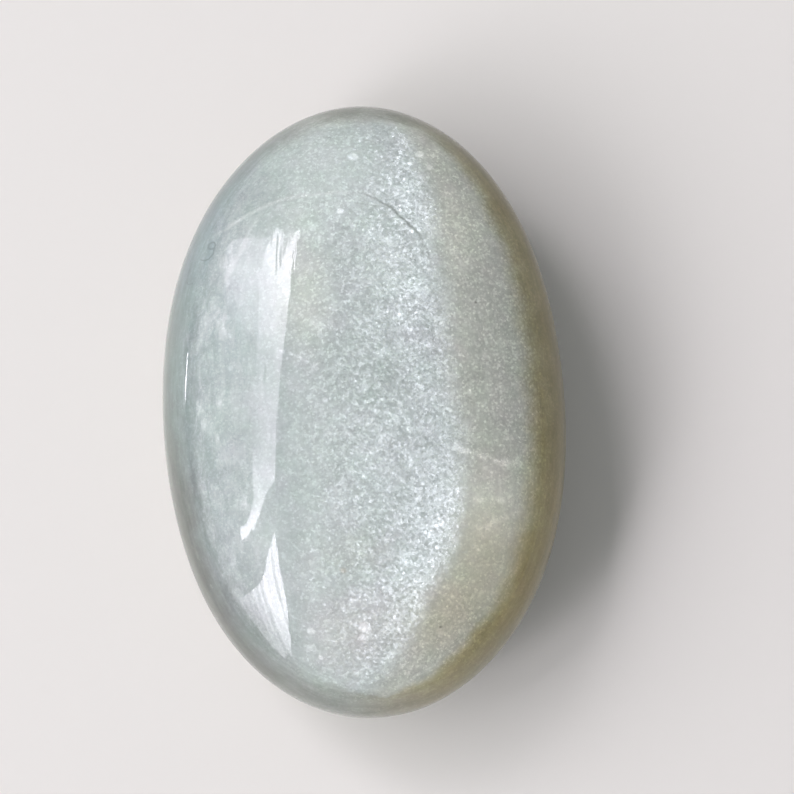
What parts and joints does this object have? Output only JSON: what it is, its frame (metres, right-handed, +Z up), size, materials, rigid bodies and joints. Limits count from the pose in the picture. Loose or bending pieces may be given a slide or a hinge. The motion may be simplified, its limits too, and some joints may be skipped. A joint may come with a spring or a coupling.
{
  "type": "moonstone palm stone",
  "caption": "Polished oval palm stone with a domed crown, a domed underside and a small ground flat to lie on.",
  "frame": {"origin": "middle of the object's box at its lowest plane, which is the small flat that the stone lies on", "axes": "+Y along the stone's long axis, +X across its width, +Z up out of the crown"},
  "size_m": [0.0456, 0.07, 0.023],
  "materials": {
    "moonstone": "high polish, milky grey-green feldspar with a silver schiller"
  },
  "bodies": {
    "root": {"stone": "moonstone"}
  },
  "joints": []
}
